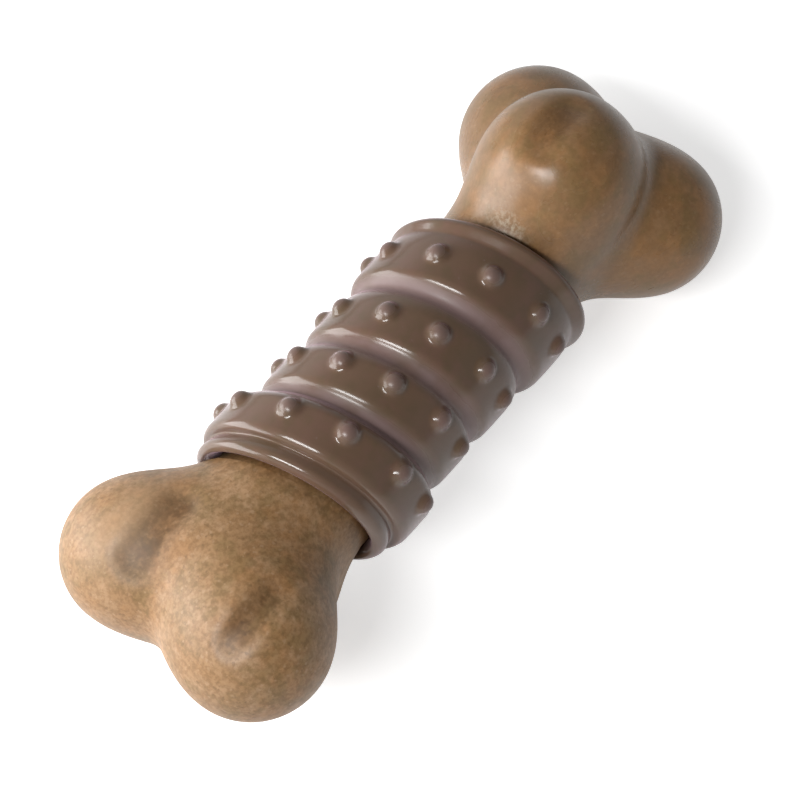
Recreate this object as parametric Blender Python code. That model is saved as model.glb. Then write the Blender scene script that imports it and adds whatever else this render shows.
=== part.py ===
"""Bone-shaped dog chew toy: a rigid knuckle-ended core with a ribbed, studded rubber sleeve on its waist.

Two pieces: bone_core, moulded in one with a recessed and grooved waist, and rubber_sleeve, moulded round
that waist. The toy lies on three of its knobs, on flats that share the plane z = 0. +X runs along the
toy, from the end that has two knobs on top to the end that has one knob on top.
"""

import math

import bmesh
import bpy
from mathutils import Matrix, Vector

MM = 0.001

# Knobs. Each end has a pair of side knobs and one crown knob, set back along the core.
KNOB_SPACING = 131.6 * MM      # between the planes of the two pairs of side knobs
NEAR_KNOB_RADIUS = 15.9 * MM   # at the -X end
FAR_KNOB_RADIUS = 17.3 * MM    # at the +X end
FAR_CROWN_RADIUS = 17.5 * MM
FAR_KNOB_GROWTH = 0.6 * MM     # one side knob of each end is this much larger: the +Y one at +X
NEAR_KNOB_GROWTH = 0.3 * MM    # and the -Y one at -X
FAR_END_LEAN = 0.04            # the +X end's side knobs lie this much further along X for each unit of +Y
SIDE_KNOB_OFFSET = 16.0 * MM   # centre line of the core to a side knob's centre
CROWN_KNOB_OFFSET = 16.6 * MM
SIDE_KNOB_ANGLE = math.radians(103)   # from an end's crown knob round to its side knobs
NEAR_CROWN_SETBACK = 12.5 * MM
FAR_CROWN_SETBACK = 14.2 * MM
END_TWIST = math.radians(171.5)       # turn of the -X end about the core, against the +X end
HEEL_RADIUS = 14.2 * MM        # ball in the middle of each end that fills between its knobs
HEEL_SETBACK = 10.0 * MM
KNOB_BLEND = 5.0 * MM          # how far apart two knobs start to flow together
NECK_BLEND = 12.0 * MM         # the same where the knobs meet the heels and the neck
NECK_SPREAD = 2.5              # the steepest that the core widens past the sleeve's rim

# Lengthwise hollows, one in the top of each knob that faces up: the turn round the knob from straight up,
# where the hollow's floor starts and ends along X from the knob's centre, its half width and its depth.
FAR_CROWN_HOLLOW = (math.radians(-5), -6.5 * MM, 4.5 * MM, 3.8 * MM, 1.3 * MM)
NEAR_RIGHT_HOLLOW = (math.radians(7.5), -7.0 * MM, 6.5 * MM, 2.9 * MM, 1.6 * MM)
NEAR_LEFT_HOLLOW = (math.radians(22), -4.0 * MM, 8.5 * MM, 4.2 * MM, 1.3 * MM)
HOLLOW_EDGE = 3                # 2 gives a hollow soft sides, and more gives it firmer ones

# Core between the ends, and the waist that the rubber fills.
NECK_RADIUS = 16.9 * MM
WAIST_DEPTH = 1.0 * MM
KEY_COUNT = 3                  # ring grooves in the waist that lock the rubber
KEY_PITCH = 15.0 * MM
KEY_WIDTH = 5.0 * MM
KEY_DEPTH = 1.2 * MM

# Rubber sleeve: four bands between grooves, which all run at a slant round the core.
FIT_GAP = 0.3 * MM             # between the sleeve and the core
SLANT = 0.235                  # rise along X for each unit across
SLANT_ANGLE = math.radians(91.5)      # from the +X crown knob round to where a ring lies highest
SLEEVE_OFFSET = -5.2 * MM      # middle of the sleeve, from the middle of the core
SLEEVE_LENGTH = 68.2 * MM
LIP_OVERLAP = 4.0 * MM         # how far each rim reaches over the neck past the waist
LIP_FLARE = 1.3 * MM           # how far the rim's inner edge opens away from the neck
STUD_ROWS = [23.7 * MM, 7.0 * MM, -7.4 * MM, -22.4 * MM]  # from the sleeve's middle
BAND_RADII = [21.9 * MM, 20.8 * MM, 20.7 * MM, 22.9 * MM]     # at the stud rows
GROOVE_BELOW_ROW = 9.3 * MM    # stud row to the groove on its -X side
RIDGE_BELOW_ROW = 5.0 * MM     # stud row to the band's firm edge on its -X side
GROOVE_DEPTH = 1.8 * MM
RIDGE_DROP = 0.1 * MM          # the firm edge lies this much lower than the stud row
STEP_RUN = 1.0 * MM            # below the firm edge a short step leads to a second, finer edge
STEP_DROP = 0.5 * MM
FAR_RIM_RADIUS = 22.5 * MM
NEAR_RIM_RADIUS = 21.0 * MM
RIM_RUN = 2.0 * MM             # the rims round off over this length
RIM_FALL = 1.8 * MM            # and by this much in radius
FAR_LIP_WIDTH = 4.2 * MM
NEAR_LIP_WIDTH = 4.4 * MM
LIP_GROOVE_DEPTH = 0.6 * MM
BAND_RISE_SHARE = 0.8          # part of the way from a groove to the stud row that the band rises over

# Studs. They stand in pairs on either side of a line along the sleeve, clear of its two sides.
STUD_LINE = math.radians(1)    # from the +X crown knob round to that line
STUD_TURNS = [math.radians(turn) for turn in (15.8, 50.2, 79.2, 129.0, 163.0)]   # from the line
STUD_RADIUS = 2.4 * MM
STUD_HEIGHT = 1.8 * MM
STUD_ROOT = 0.9 * MM           # part of a stud that is sunk in its band
STUD_BLUNTNESS = 0.7           # 1 is a half ellipse, and less gives steeper sides

# Flats where the toy rests, as deep as this below each knob's round surface.
REST_FLAT_DEPTH = 0.3 * MM

# Mesh fineness.
SEGMENTS = 40                  # round the core and the sleeve
CAP_STEPS = 12                 # from the side of an end to its tip
KNOB_STEPS = 9                 # along each stretch between the sleeve's rim and an end
CURVE_STEPS = 3                # along each rounded stretch of the sleeve's outline
STUD_SEGMENTS = 8
STUD_STEPS = 3
SHARP_EDGE = math.radians(50)
SEARCH_STEPS = 32              # coarse steps inwards to the core's surface
SEARCH_HALVINGS = 18           # then halvings of the last step
REST_ROUNDS = 8                # rounds of settling the toy on its three lower knobs
TINY_TURN = 0.01               # radians, to find the way that a ring runs
CUT_TOLERANCE = 0.0001 * MM


def around(x, radius, angle):
    """A point at a distance from the centre line; angle 0 is straight up and grows towards -Y."""
    return Vector((x, -radius * math.sin(angle), radius * math.cos(angle)))


def knobs():
    """Centre and radius of each of the six knobs: an end's two side knobs, then its crown knob."""
    found = []
    for side, radius, growth, crown_radius, lean, setback, turn in (
        (1, FAR_KNOB_RADIUS, FAR_KNOB_GROWTH, FAR_CROWN_RADIUS, FAR_END_LEAN, FAR_CROWN_SETBACK, 0.0),
        (-1, NEAR_KNOB_RADIUS, NEAR_KNOB_GROWTH, NEAR_KNOB_RADIUS, 0.0, NEAR_CROWN_SETBACK, END_TWIST),
    ):
        plane = side * KNOB_SPACING / 2
        for angle, more in ((turn - SIDE_KNOB_ANGLE, growth), (turn + SIDE_KNOB_ANGLE, 0)):
            centre = around(plane, SIDE_KNOB_OFFSET, angle)
            centre.x += lean * centre.y
            found.append((centre, radius + more))
        crown = around(plane - side * setback, CROWN_KNOB_OFFSET, turn)
        found.append((crown, crown_radius))
    return found


KNOBS = knobs()
HOLLOWS = list(zip(KNOBS[2:5], (FAR_CROWN_HOLLOW, NEAR_RIGHT_HOLLOW, NEAR_LEFT_HOLLOW)))
LOWER_KNOBS = KNOBS[0:2] + KNOBS[5:6]
HEEL_X = KNOB_SPACING / 2 - HEEL_SETBACK
HEELS = [Vector((side * HEEL_X, 0, 0)) for side in (-1, 1)]
SEARCH_REACH = NECK_BLEND + max(
    (centre - heel).length + radius for centre, radius in KNOBS for heel in HEELS if centre.x * heel.x > 0
)


def flow_together(a, b, blend):
    """Smooth union of two signed distances."""
    share = max(blend - abs(a - b), 0) / blend
    return min(a, b) - share * share * blend / 4


def core_field(point):
    """Negative inside the core without its waist, positive outside."""
    along = max(abs(point.x) - HEEL_X, 0)
    trunk = math.hypot(point.y, point.z, along) - NECK_RADIUS
    for heel in HEELS:
        trunk = flow_together(trunk, (point - heel).length - HEEL_RADIUS, NECK_BLEND)
    field = KNOB_SPACING
    for centre, radius in KNOBS:
        field = flow_together(field, (point - centre).length - radius, KNOB_BLEND)
    field = flow_together(field, trunk, NECK_BLEND)
    for (centre, radius), (turn, start, end, width, depth) in HOLLOWS:
        off = point - centre - around(0, radius, turn)
        along = max(start - off.x, off.x - end, 0)
        away = math.hypot(off.y, off.z, along)
        field += depth * math.exp(-((away / width) ** HOLLOW_EDGE))
    return field


def surface_distance(origin, direction):
    """How far the core's surface is from a point on its centre line, along a direction."""
    step = SEARCH_REACH / SEARCH_STEPS
    near = SEARCH_REACH - step
    while core_field(origin + direction * near) > 0:
        near -= step
    far = near + step
    for _ in range(SEARCH_HALVINGS):
        middle = (near + far) / 2
        if core_field(origin + direction * middle) > 0:
            far = middle
        else:
            near = middle
    return near


def slanted(s, radius, angle, share=1.0):
    """A point on the ring at s. A ring leans by the slant where share is 1, and stands square at 0."""
    point = around(s, radius, angle)
    point.x += share * SLANT * radius * math.cos(angle - SLANT_ANGLE)
    return point


def far_rim():
    return SLEEVE_OFFSET + SLEEVE_LENGTH / 2


def near_rim():
    return SLEEVE_OFFSET - SLEEVE_LENGTH / 2


def waist_outline(gap):
    """Outline of the waist from its -X shoulder to its +X one, as (s, radius), moved out by a gap."""
    low = near_rim() + LIP_OVERLAP + gap
    high = far_rim() - LIP_OVERLAP - gap
    neck = NECK_RADIUS + gap
    waist = neck - WAIST_DEPTH
    outline = [(low, neck), (low, waist)]
    for key in range(KEY_COUNT):
        middle = SLEEVE_OFFSET + (key - (KEY_COUNT - 1) / 2) * KEY_PITCH
        half = KEY_WIDTH / 2 - gap
        slope = KEY_DEPTH
        outline += [
            (middle - half, waist),
            (middle - half + slope, waist - KEY_DEPTH),
            (middle + half - slope, waist - KEY_DEPTH),
            (middle + half, waist),
        ]
    return outline + [(high, waist), (high, neck)]


def arc(centre, radii, start, stop, steps):
    """Points on an ellipse in the (s, radius) plane, angles in degrees from +s."""
    points = []
    for step in range(steps + 1):
        angle = math.radians(start + (stop - start) * step / steps)
        points.append((centre[0] + radii[0] * math.cos(angle), centre[1] + radii[1] * math.sin(angle)))
    return points


def band_outline(row, radius, groove):
    """One band, after the groove on its +X side, as far as its two firm -X edges."""
    ridge = row - RIDGE_BELOW_ROW
    rise = (groove[0] - row) * BAND_RISE_SHARE
    points = []
    for step in range(1, CURVE_STEPS + 1):
        left = 1 - step / CURVE_STEPS
        height = radius - (radius - groove[1]) * left ** 2
        points.append((groove[0] - rise * (1 - left), height))
    points.append(((row + ridge) / 2, radius - RIDGE_DROP / 4))
    points.append((ridge, radius - RIDGE_DROP))
    points.append((ridge - STEP_RUN / 2, radius - RIDGE_DROP - STEP_DROP))
    points.append((ridge - STEP_RUN, radius - RIDGE_DROP - STEP_DROP))
    return points


def sleeve_outline():
    """Closed outline of the sleeve in the (s, radius) plane: outside from +X to -X, then back inside."""
    rows = [SLEEVE_OFFSET + row for row in STUD_ROWS]
    grooves = []
    for index, row in enumerate(rows[:-1]):
        low = min(BAND_RADII[index], BAND_RADII[index + 1]) - GROOVE_DEPTH
        grooves.append((row - GROOVE_BELOW_ROW, low))
    lip_above = (far_rim() - FAR_LIP_WIDTH, min(FAR_RIM_RADIUS, BAND_RADII[0]) - LIP_GROOVE_DEPTH)
    lip_below = (near_rim() + NEAR_LIP_WIDTH, min(NEAR_RIM_RADIUS, BAND_RADII[-1]) - LIP_GROOVE_DEPTH)
    rounding = (RIM_RUN, RIM_FALL)
    far_centre = (far_rim() - RIM_RUN, FAR_RIM_RADIUS - RIM_FALL)
    near_centre = (near_rim() + RIM_RUN, NEAR_RIM_RADIUS - RIM_FALL)
    outline = arc(far_centre, rounding, 0, 90, CURVE_STEPS)
    for row, radius, groove in zip(rows, BAND_RADII, [lip_above] + grooves):
        outline.append(groove)
        outline += band_outline(row, radius, groove)
    outline.append(lip_below)
    outline += arc(near_centre, rounding, 90, 180, CURVE_STEPS)
    neck = NECK_RADIUS + FIT_GAP
    flare = LIP_FLARE
    inside = [(near_rim() + flare / 2, neck + flare), (near_rim() + 2 * flare, neck)]
    inside += waist_outline(FIT_GAP)
    inside += [(far_rim() - 2 * flare, neck), (far_rim() - flare / 2, neck + flare)]
    return outline + inside


def ring_faces(bm, first, second):
    """Quads between two rings of vertices."""
    for index in range(len(first)):
        follow = (index + 1) % len(first)
        bm.faces.new((first[index], first[follow], second[follow], second[index]))


def finish_mesh(bm, name):
    """Turn a closed bmesh into a mesh whose faces point out."""
    bmesh.ops.recalc_face_normals(bm, faces=bm.faces)
    if bm.calc_volume(signed=True) < 0:
        bmesh.ops.reverse_faces(bm, faces=bm.faces)
    mesh = bpy.data.meshes.new(name)
    bm.to_mesh(mesh)
    bm.free()
    mesh.shade_smooth()
    mesh.set_sharp_from_angle(angle=SHARP_EDGE)
    return mesh


def place(name, mesh, parent, material):
    piece = bpy.data.objects.new(name, mesh)
    bpy.context.scene.collection.objects.link(piece)
    piece.parent = parent
    piece.data.materials.append(material)
    return piece


def material(name, colour, roughness):
    made = bpy.data.materials.new(name)
    made.use_nodes = True
    shader = made.node_tree.nodes["Principled BSDF"]
    shader.inputs["Base Color"].default_value = (*colour, 1)
    shader.inputs["Roughness"].default_value = roughness
    shader.inputs["Metallic"].default_value = 0
    made.diffuse_color = (*colour, 1)
    return made


def lean_share(s):
    """1 along the sleeve, easing to 0 at the heels of the ends."""
    if near_rim() <= s <= far_rim():
        return 1.0
    rim = far_rim() if s > 0 else near_rim()
    past = (s - rim) / (math.copysign(HEEL_X, s) - rim)
    past = min(max(past, 0), 1)
    return 1 - past * past * (3 - 2 * past)


def core_rings():
    """Rings of points along the core, from the -X tip to the +X tip, without the tips themselves."""
    angles = [2 * math.pi * index / SEGMENTS for index in range(SEGMENTS)]
    rings = []

    def cap(side):
        made = []
        origin = Vector((side * HEEL_X, 0, 0))
        for step in range(1, CAP_STEPS):
            tilt = math.pi / 2 * step / CAP_STEPS
            ring = []
            for angle in angles:
                direction = around(side * math.tan(tilt), 1, angle).normalized()
                ring.append(origin + direction * surface_distance(origin, direction))
            made.append(ring)
        return made

    def stretch(start, stop, steps):
        made = []
        for step in range(steps + 1):
            s = start + (stop - start) * step / steps
            past = max(s - far_rim(), near_rim() - s, 0)
            widest = NECK_RADIUS + NECK_SPREAD * past
            ring = []
            for angle in angles:
                direction = slanted(0, 1, angle, lean_share(s))
                origin = Vector((s, 0, 0))
                ring.append(origin + direction * min(surface_distance(origin, direction), widest))
            made.append(ring)
        return made

    rings += reversed(cap(-1))
    rings += stretch(-HEEL_X, near_rim(), KNOB_STEPS)
    for s, radius in waist_outline(0):
        rings.append([slanted(s, radius, angle) for angle in angles])
    rings += stretch(far_rim(), HEEL_X, KNOB_STEPS)
    rings += cap(1)
    return rings


def rest_frame():
    """Turns and lifts the toy so that it rests on three knobs. Returns the matrix."""
    lean_x, lean_y = 0.0, 0.0
    for _ in range(REST_ROUNDS):
        length = math.sqrt(1 + lean_x ** 2 + lean_y ** 2)
        system = Matrix([(centre.x, centre.y, -1) for centre, radius in LOWER_KNOBS])
        wanted = Vector([radius * length - centre.z for centre, radius in LOWER_KNOBS])
        lean_x, lean_y, height = system.inverted() @ wanted
    up = Vector((lean_x, lean_y, 1)).normalized()
    along = (Vector((1, 0, 0)) - up * up.x).normalized()
    turn = Matrix((along, up.cross(along), up))
    floor = sum(up.dot(centre) - radius for centre, radius in LOWER_KNOBS) / len(LOWER_KNOBS)
    return Matrix.Translation((0, 0, -floor - REST_FLAT_DEPTH)) @ turn.to_4x4()


def make_core(parent, finish):
    """The rigid core: knobs, heels and neck from one flowing field, and the turned waist."""
    bm = bmesh.new()
    rings = [[bm.verts.new(point) for point in ring] for ring in core_rings()]
    for first, second in zip(rings, rings[1:]):
        ring_faces(bm, first, second)
    for side, ring in ((-1, rings[0]), (1, rings[-1])):
        origin = Vector((side * HEEL_X, 0, 0))
        axis = Vector((side, 0, 0))
        tip = bm.verts.new(origin + axis * surface_distance(origin, axis))
        for index in range(SEGMENTS):
            bm.faces.new((ring[index], ring[(index + 1) % SEGMENTS], tip))
    up = parent.matrix_world.inverted().to_3x3() @ Vector((0, 0, 1))
    foot = parent.matrix_world.inverted() @ Vector((0, 0, 0))
    everything = bm.verts[:] + bm.edges[:] + bm.faces[:]
    cut = bmesh.ops.bisect_plane(
        bm, geom=everything, dist=CUT_TOLERANCE, plane_co=foot, plane_no=up, clear_inner=True
    )
    rims = [item for item in cut["geom_cut"] if isinstance(item, bmesh.types.BMEdge)]
    bmesh.ops.edgeloop_fill(bm, edges=rims)
    return place("bone_core", finish_mesh(bm, "bone_core"), parent, finish)


def stud_shape(bm, row, radius, angle):
    """A round-topped stud that stands square on its band."""
    seat = slanted(row, radius, angle)
    outward = around(0, 1, angle)
    along = slanted(row, radius, angle + TINY_TURN) - seat
    across = along.cross(outward).normalized()
    along = outward.cross(across)
    levels = []
    for step in range(STUD_STEPS):
        turn = math.pi / 2 * step / STUD_STEPS
        levels.append((STUD_RADIUS * math.cos(turn) ** STUD_BLUNTNESS, STUD_HEIGHT * math.sin(turn)))
    levels.insert(0, (STUD_RADIUS, -STUD_ROOT))
    rings = []
    for width, height in levels:
        ring = []
        for index in range(STUD_SEGMENTS):
            turn = 2 * math.pi * (index + 0.5) / STUD_SEGMENTS
            point = seat + outward * height + (along * math.cos(turn) + across * math.sin(turn)) * width
            ring.append(bm.verts.new(point))
        rings.append(ring)
    for first, second in zip(rings, rings[1:]):
        ring_faces(bm, first, second)
    bm.faces.new(rings[0])
    top = bm.verts.new(seat + outward * STUD_HEIGHT)
    for index in range(STUD_SEGMENTS):
        bm.faces.new((rings[-1][index], rings[-1][(index + 1) % STUD_SEGMENTS], top))


def make_sleeve(parent, finish):
    """The rubber sleeve: one slanted turned body, with the studs joined on."""
    bm = bmesh.new()
    rings = []
    turns = [2 * math.pi * index / SEGMENTS for index in range(SEGMENTS)]
    for s, radius in sleeve_outline():
        rings.append([bm.verts.new(slanted(s, radius, turn)) for turn in turns])
    for first, second in zip(rings, rings[1:] + rings[:1]):
        ring_faces(bm, first, second)
    sleeve = place("rubber_sleeve", finish_mesh(bm, "rubber_sleeve"), parent, finish)

    bm = bmesh.new()
    for row, radius in zip(STUD_ROWS, BAND_RADII):
        for turn in STUD_TURNS:
            for side in (-1, 1):
                stud_shape(bm, SLEEVE_OFFSET + row, radius, STUD_LINE + side * turn)
    studs = place("stud_cutter", finish_mesh(bm, "stud_cutter"), parent, finish)
    studs.hide_render = True
    studs.display_type = "WIRE"
    union = sleeve.modifiers.new("studs", "BOOLEAN")
    union.operation = "UNION"
    union.solver = "EXACT"
    union.object = studs
    return sleeve


def main():
    for old in list(bpy.data.objects):
        bpy.data.objects.remove(old, do_unlink=True)
    lying = bpy.data.objects.new("lying_toy", None)
    bpy.context.scene.collection.objects.link(lying)
    lying.matrix_world = rest_frame()
    bpy.context.view_layer.update()
    core = make_core(lying, material("bone composite", (0.36, 0.22, 0.11), 0.42))
    make_sleeve(lying, material("brown rubber", (0.15, 0.10, 0.085), 0.3))
    corners = [lying.matrix_world @ vertex.co for vertex in core.data.vertices]
    for axis in range(2):
        places = [corner[axis] for corner in corners]
        lying.location[axis] -= (min(places) + max(places)) / 2


main()
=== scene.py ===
"""Looks of a bone-shaped dog chew toy: a flecked composite core with a studded brown rubber sleeve.

The file is laid out as a Blender add-on and is run as a script. Lengths are in metres. Both pieces follow
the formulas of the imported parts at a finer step, apart from the bands' ridges and creases and the studs,
which are rounder here. They are made in the core's own frame and are then laid on three knobs. In that
frame X runs along the core, and angles go round it from the crown knob at +X, which points up.
"""

import math

import bpy
import numpy as np
from bpy.props import FloatProperty, FloatVectorProperty, PointerProperty
from mathutils import Euler, Matrix, Vector


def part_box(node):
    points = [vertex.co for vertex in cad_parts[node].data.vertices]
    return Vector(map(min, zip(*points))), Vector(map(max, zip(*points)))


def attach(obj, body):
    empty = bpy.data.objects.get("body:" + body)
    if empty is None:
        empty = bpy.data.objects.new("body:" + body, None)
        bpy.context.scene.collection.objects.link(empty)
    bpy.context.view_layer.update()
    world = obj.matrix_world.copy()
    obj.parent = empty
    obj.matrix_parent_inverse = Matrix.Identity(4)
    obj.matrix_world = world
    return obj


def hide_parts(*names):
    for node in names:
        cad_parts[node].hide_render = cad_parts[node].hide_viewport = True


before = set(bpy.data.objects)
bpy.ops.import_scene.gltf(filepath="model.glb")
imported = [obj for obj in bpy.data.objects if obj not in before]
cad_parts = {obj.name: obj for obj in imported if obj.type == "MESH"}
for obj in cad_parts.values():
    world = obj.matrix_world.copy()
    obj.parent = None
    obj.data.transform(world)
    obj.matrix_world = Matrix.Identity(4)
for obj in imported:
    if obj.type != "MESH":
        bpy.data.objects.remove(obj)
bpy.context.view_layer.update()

bl_info = {
    "name": "Chew Toy Looks",
    "version": (1, 0, 0),
    "blender": (4, 5, 0),
    "location": "View3D > Sidebar > Chew Toy",
    "description": "Makes the fine surfaces and finishes of a bone-shaped chew toy, and its studio",
    "category": "Object",
}

MM = 0.001

# Core, beside the sizes in its settings.
FAR_CROWN_RADIUS = 17.5 * MM
FAR_KNOB_GROWTH = 0.6 * MM
NEAR_KNOB_GROWTH = 0.3 * MM
FAR_END_LEAN = 0.04
SIDE_KNOB_OFFSET = 16.0 * MM
CROWN_KNOB_OFFSET = 16.6 * MM
SIDE_KNOB_ANGLE = math.radians(103)
NEAR_CROWN_SETBACK = 12.5 * MM
FAR_CROWN_SETBACK = 14.2 * MM
END_TWIST = math.radians(171.5)
HEEL_RADIUS = 14.2 * MM
HEEL_SETBACK = 10.0 * MM
KNOB_BLEND = 5.0 * MM
NECK_BLEND = 12.0 * MM
REST_FLAT_DEPTH = 0.3 * MM

# How steeply the core may widen past the sleeve's rims.
NECK_SPREAD = 2.5

# Lengthwise hollows in the knobs that face up: the turn round the knob from straight up, where the floor
# starts and ends along X from the knob's centre, its half width and its depth.
HOLLOWS = (
    (math.radians(-5), -6.5 * MM, 4.5 * MM, 3.8 * MM, 1.3 * MM),
    (math.radians(7.5), -7.0 * MM, 6.5 * MM, 2.9 * MM, 1.6 * MM),
    (math.radians(22), -4.0 * MM, 8.5 * MM, 4.2 * MM, 1.3 * MM),
)

# How sharply the hollows end, and how dark the painted shade in each is.
HOLLOW_EDGE = 3
HOLLOW_SHADES = (0.6, 1.0, 0.95)

# Patches of the core: a rougher scuff whose glints are painted as pale specks, and a painted sheen on the
# lit side of a knob at the -X end. The middle of each, and how far it reaches along X, Y and Z.
PATCHES = {
    "scuff_and_glints": ((32.0 * MM, -1.0 * MM, 20.5 * MM), (1.7 * MM, 4.5 * MM, 6.0 * MM)),
    "lit_sheen": ((-66.0 * MM, 16.5 * MM, 17.0 * MM), (13.0 * MM, 5.5 * MM, 6.0 * MM)),
}
# How far the painted shade beside the sleeve's rims reaches along the core.
RIM_SHADE_REACH = 5.0 * MM

# Waist of the core, and the ring grooves that lock the rubber.
WAIST_DEPTH = 1.0 * MM
KEY_COUNT = 3
KEY_PITCH = 15.0 * MM
KEY_WIDTH = 5.0 * MM
KEY_DEPTH = 1.2 * MM

# Sleeve, beside the sizes in its settings. Rows are measured from its middle.
FIT_GAP = 0.3 * MM
SLANT = 0.235
SLANT_ANGLE = math.radians(91.5)
SLEEVE_OFFSET = -5.2 * MM
LIP_OVERLAP = 4.0 * MM
LIP_FLARE = 1.3 * MM
STUD_ROWS = (23.7 * MM, 7.0 * MM, -7.4 * MM, -22.4 * MM)
BAND_RADII = (21.9 * MM, 20.8 * MM, 20.7 * MM, 22.9 * MM)

# Profile of a band: how far its ridge and the next groove lie past its row of studs, towards -X.
GROOVE_BELOW_ROW = 9.3 * MM
RIDGE_BELOW_ROW = 5.0 * MM
RIDGE_DROP = 0.1 * MM
RIDGE_ROUNDING = 3.0 * MM
RIDGE_TURN = math.radians(45)
BAND_RISE_SHARE = 0.8

# Rolled rims, and the lips that they end.
FAR_RIM_RADIUS = 22.5 * MM
NEAR_RIM_RADIUS = 21.0 * MM
RIM_RUN = 2.0 * MM
RIM_FALL = 1.8 * MM
FAR_LIP_WIDTH = 4.2 * MM
NEAR_LIP_WIDTH = 4.4 * MM
LIP_GROOVE_DEPTH = 0.6 * MM

# Studs: the line that each row mirrors on, and how far round from it they stand.
STUD_LINE = math.radians(1)
STUD_TURNS = tuple(math.radians(turn) for turn in (15.8, 50.2, 79.2, 129.0, 163.0))
STUD_BLEND = 0.9 * MM
STUD_REACH = 3.7 * MM

# Rounding of the outside's corners, and how far the soft rounding and the painted reflection reach from a
# groove.
EDGE_ROUNDING = 0.16 * MM
VALLEY_ROUNDING = 0.9 * MM
VALLEY_REACH = 1.3 * MM
SHEEN_REACH = 2.1 * MM

# Fineness of the meshes.
CORE_SEGMENTS = 240
SLEEVE_SEGMENTS = 360
CAP_STEPS = 64
KNOB_STEPS = 56
ARC_STEPS = 16
STUD_STEPS = 400
OUTSIDE_STEP = 0.37 * MM
INSIDE_STEP = 1.5 * MM
OUTLINE_STEP = 0.03 * MM
SEARCH_STEPS = 40
SEARCH_HALVINGS = 22
REST_ROUNDS = 8
TINY_TURN = 0.001

# Studio. Each lamp has its direction from the toy, distance, size and power. Its long side runs along Y.
CAMERA_PLACE = (-0.09991, -0.11426, 0.35493)
CAMERA_TURN = (23.388, 4.88, -51.034)
CAMERA_LENS = 76.5
SENSOR_WIDTH = 36
TOY_MIDDLE = (0.0, 0.0, 0.03)
FLOOR_SIZE = 6.0
LAMPS = (
    ("key_softbox", (-0.535, 0.017, 0.844), 0.50, (0.095, 0.28), 1.78),
    ("side_softbox", (-0.62, 0.73, 0.28), 0.30, (0.16, 0.32), 0.92),
)

# Side where the sky is brighter, how far to each side its light changes, and the heights between which it
# dims in gloss.
BRIGHT_SIDE = (-0.63, 0.77, 0.08)
SKY_TURNOVER = 0.7
GLOSS_HORIZON = 0.25
GLOSS_OVERHEAD = 0.8

# How bright the floor glows to the camera, and the share of that which gloss shows.
FLOOR_GLOW = 0.6
FLOOR_GLOSS_SHARE = 0.5


class CoreSettings(bpy.types.PropertyGroup):
    knob_spacing: FloatProperty(
        name="Knob Spacing",
        description="Between the planes of the two pairs of side knobs",
        default=131.6 * MM,
        subtype="DISTANCE",
        unit="LENGTH",
    )
    near_knob_radius: FloatProperty(
        name="Near Knob Radius",
        description="Radius of the knobs at the end that has two of them on top",
        default=15.9 * MM,
        subtype="DISTANCE",
        unit="LENGTH",
    )
    far_knob_radius: FloatProperty(
        name="Far Knob Radius",
        description="Radius of the side knobs at the end that has one knob on top",
        default=17.3 * MM,
        subtype="DISTANCE",
        unit="LENGTH",
    )
    neck_radius: FloatProperty(
        name="Neck Radius",
        description="Radius of the core beside the sleeve",
        default=16.9 * MM,
        subtype="DISTANCE",
        unit="LENGTH",
    )
    hollow_share: FloatProperty(
        name="Hollow Share",
        description="Part of their full depth that the lengthwise hollows are made to",
        default=1.0,
        min=0,
    )
    base_colour: FloatVectorProperty(
        name="Base Colour",
        description="Main colour of the wood-fibre composite at its duller end",
        default=(0.315, 0.18, 0.082),
        subtype="COLOR",
        min=0,
        max=1,
    )
    glossy_colour: FloatVectorProperty(
        name="Glossy End Colour",
        description="Main colour of the composite at its glossier end",
        default=(0.24, 0.128, 0.053),
        subtype="COLOR",
        min=0,
        max=1,
    )
    orange_colour: FloatVectorProperty(
        name="Orange Colour",
        description="Colour of the warmer clouds",
        default=(0.36, 0.18, 0.068),
        subtype="COLOR",
        min=0,
        max=1,
    )
    pale_colour: FloatVectorProperty(
        name="Pale Colour",
        description="Colour of the paler clouds and fibres",
        default=(0.5, 0.33, 0.2),
        subtype="COLOR",
        min=0,
        max=1,
    )
    olive_colour: FloatVectorProperty(
        name="Olive Colour",
        description="Colour of the darker, greener clouds",
        default=(0.2, 0.125, 0.045),
        subtype="COLOR",
        min=0,
        max=1,
    )
    fleck_colour: FloatVectorProperty(
        name="Fleck Colour",
        description="Colour of the small dark fibres",
        default=(0.12, 0.065, 0.025),
        subtype="COLOR",
        min=0,
        max=1,
    )
    # Painted shade: what the colour is multiplied by in the hollows and beside the sleeve's rims.
    shade_colour: FloatVectorProperty(
        name="Stain Colour",
        description="What the stain in the hollows and beside the sleeve multiplies the colour by",
        default=(0.36, 0.31, 0.22),
        subtype="COLOR",
        min=0,
        max=1,
    )
    # Pale specks painted for the glints on the rough scuffed patch beside the sleeve.
    glint_colour: FloatVectorProperty(
        name="Scuff Colour",
        description="Colour of the scuffed specks beside the sleeve",
        default=(0.52, 0.44, 0.32),
        subtype="COLOR",
        min=0,
        max=1,
    )


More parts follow.
